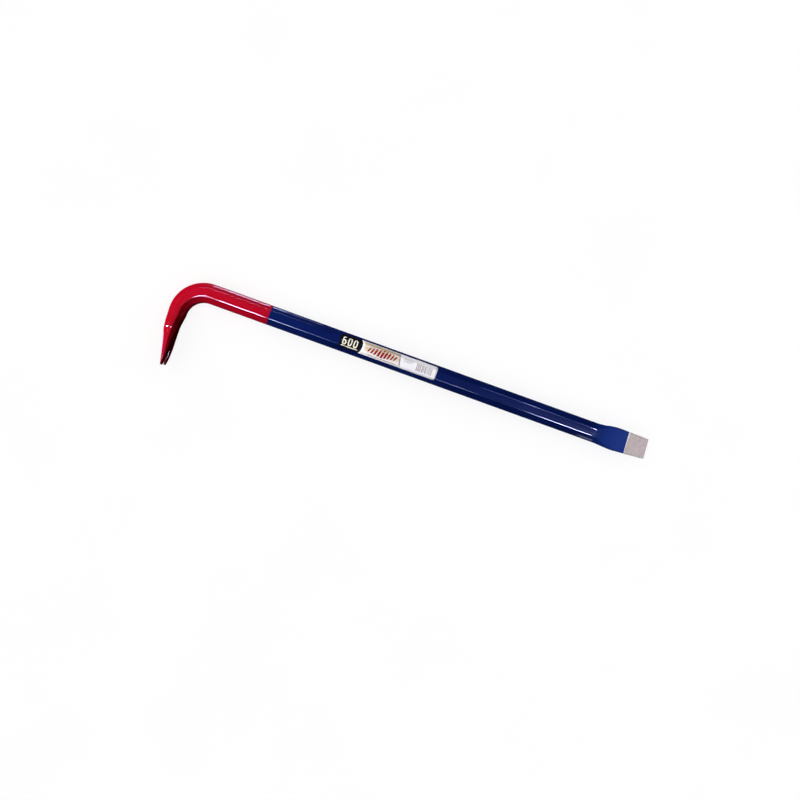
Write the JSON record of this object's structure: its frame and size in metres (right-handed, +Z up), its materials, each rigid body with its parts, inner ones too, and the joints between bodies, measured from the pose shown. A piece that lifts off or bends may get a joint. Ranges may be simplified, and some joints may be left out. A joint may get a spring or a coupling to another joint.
{
  "type": "pry bar",
  "caption": "Octagonal steel pry bar with a bent nail-pulling claw at one end and a flat chisel blade at the other, lacquered red and blue with a bare blade tip.",
  "frame": {"origin": "bottom centre of the bar's bounding box as it lies on its side on a flat surface", "axes": "+X runs along the shank from the bend's heel to the chisel blade; +Z is up; the claw points towards -Y. The bar is rolled 3 degrees about its shank, because it rests on the shank's lower edge and on the claw's lower side"},
  "size_m": [0.601, 0.1164, 0.0331],
  "materials": {
    "forged_steel": "ground, with fine grinding lines and mottling",
    "red_lacquer": "gloss lacquer",
    "blue_lacquer": "gloss lacquer",
    "label_paper": "coated, semi-gloss",
    "badge_black": "gloss print"
  },
  "bodies": {
    "root": {"forged_bar": "forged_steel", "red_enamel": "red_lacquer", "blue_enamel": "blue_lacquer", "label_film": "label_paper", "size_badge": "badge_black"}
  },
  "joints": []
}
